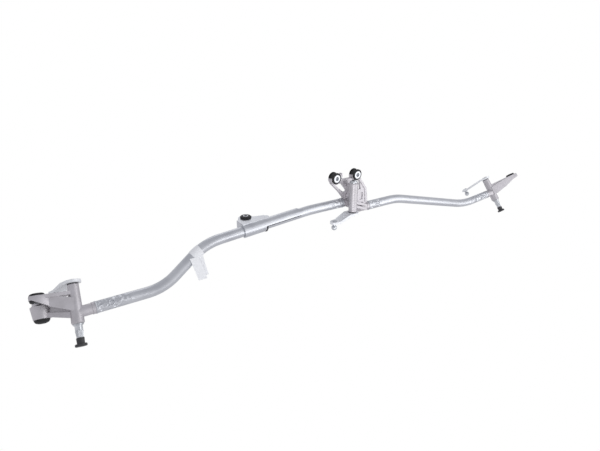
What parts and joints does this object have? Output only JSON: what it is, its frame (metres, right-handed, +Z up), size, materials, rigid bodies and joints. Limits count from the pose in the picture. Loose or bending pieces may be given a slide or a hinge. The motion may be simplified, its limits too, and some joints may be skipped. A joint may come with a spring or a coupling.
{
  "type": "wiper linkage",
  "caption": "Windscreen wiper linkage frame: bent steel tubes between cast bearing housings, wiper spindles with levers and ball studs, a centre lever, and rubber-mounted fixing eyes.",
  "frame": {"origin": "middle of the bolt hole in the bracket's grommet on the left tube", "axes": "+Z up along the bracket's bolt, +X along the tubes to the right spindle, +Y to the rear"},
  "size_m": [1.2542, 0.1115, 0.1995],
  "materials": {
    "cast_aluminium": "satin",
    "zinc_steel": "satin",
    "lever_steel": "satin",
    "bright_steel": "polished",
    "rubber": "matte",
    "bronze": "satin",
    "black_plastic": "satin",
    "paper": "matte"
  },
  "bodies": {
    "frame": {"left_housing": "cast_aluminium", "right_housing": "cast_aluminium", "centre_housing": "cast_aluminium", "left_tube": "zinc_steel", "right_tube": "zinc_steel", "mid_bracket": "zinc_steel", "left_grommet": "rubber", "right_grommet": "rubber", "mid_grommet": "rubber", "left_spacer": "bright_steel", "right_spacer": "bright_steel", "mid_spacer": "bright_steel", "left_buffer": "rubber", "left_ear_bush": "rubber", "right_ear_bush": "rubber", "left_ear_spacer": "bright_steel", "right_ear_spacer": "bright_steel", "left_bearings": "bronze", "right_bearings": "bronze", "centre_bearings": "bronze", "left_seal": "rubber", "right_seal": "rubber", "centre_seal": "rubber", "label_flag": "paper"},
    "left_pivot": {"left_spindle": "bright_steel", "left_lever": "lever_steel", "left_ball_stud": "bright_steel", "left_thrust_washer": "black_plastic", "left_end_washer": "bright_steel", "left_retaining_ring": "bright_steel", "left_cap": "black_plastic"},
    "right_pivot": {"right_spindle": "bright_steel", "right_lever": "lever_steel", "right_ball_stud": "bright_steel", "right_thrust_washer": "black_plastic", "right_end_washer": "bright_steel", "right_retaining_ring": "bright_steel", "right_cap": "black_plastic"},
    "centre_pivot": {"centre_shaft": "bright_steel", "centre_lever": "lever_steel", "centre_ball_stud": "bright_steel", "centre_thrust_washer": "black_plastic", "centre_end_washer": "bright_steel", "centre_retaining_ring": "bright_steel"}
  },
  "joints": [
    {"name": "left_spindle_turn", "type": "hinge", "parent": "frame", "child": "left_pivot", "pos_m": [-0.325, -0.026, -0.08351], "axis": [0.1132, 0.5699, 0.8139], "range_deg": [-95, 0]},
    {"name": "right_spindle_turn", "type": "hinge", "parent": "frame", "child": "right_pivot", "pos_m": [0.787, -0.026, -0.07801], "axis": [-0.1132, 0.5699, 0.8139], "range_deg": [-95, 0]},
    {"name": "centre_shaft_turn", "type": "hinge", "parent": "frame", "child": "centre_pivot", "pos_m": [0.235, -0.047, -0.01901], "axis": [0, 0, 1], "range_deg": [-50, 50]}
  ]
}
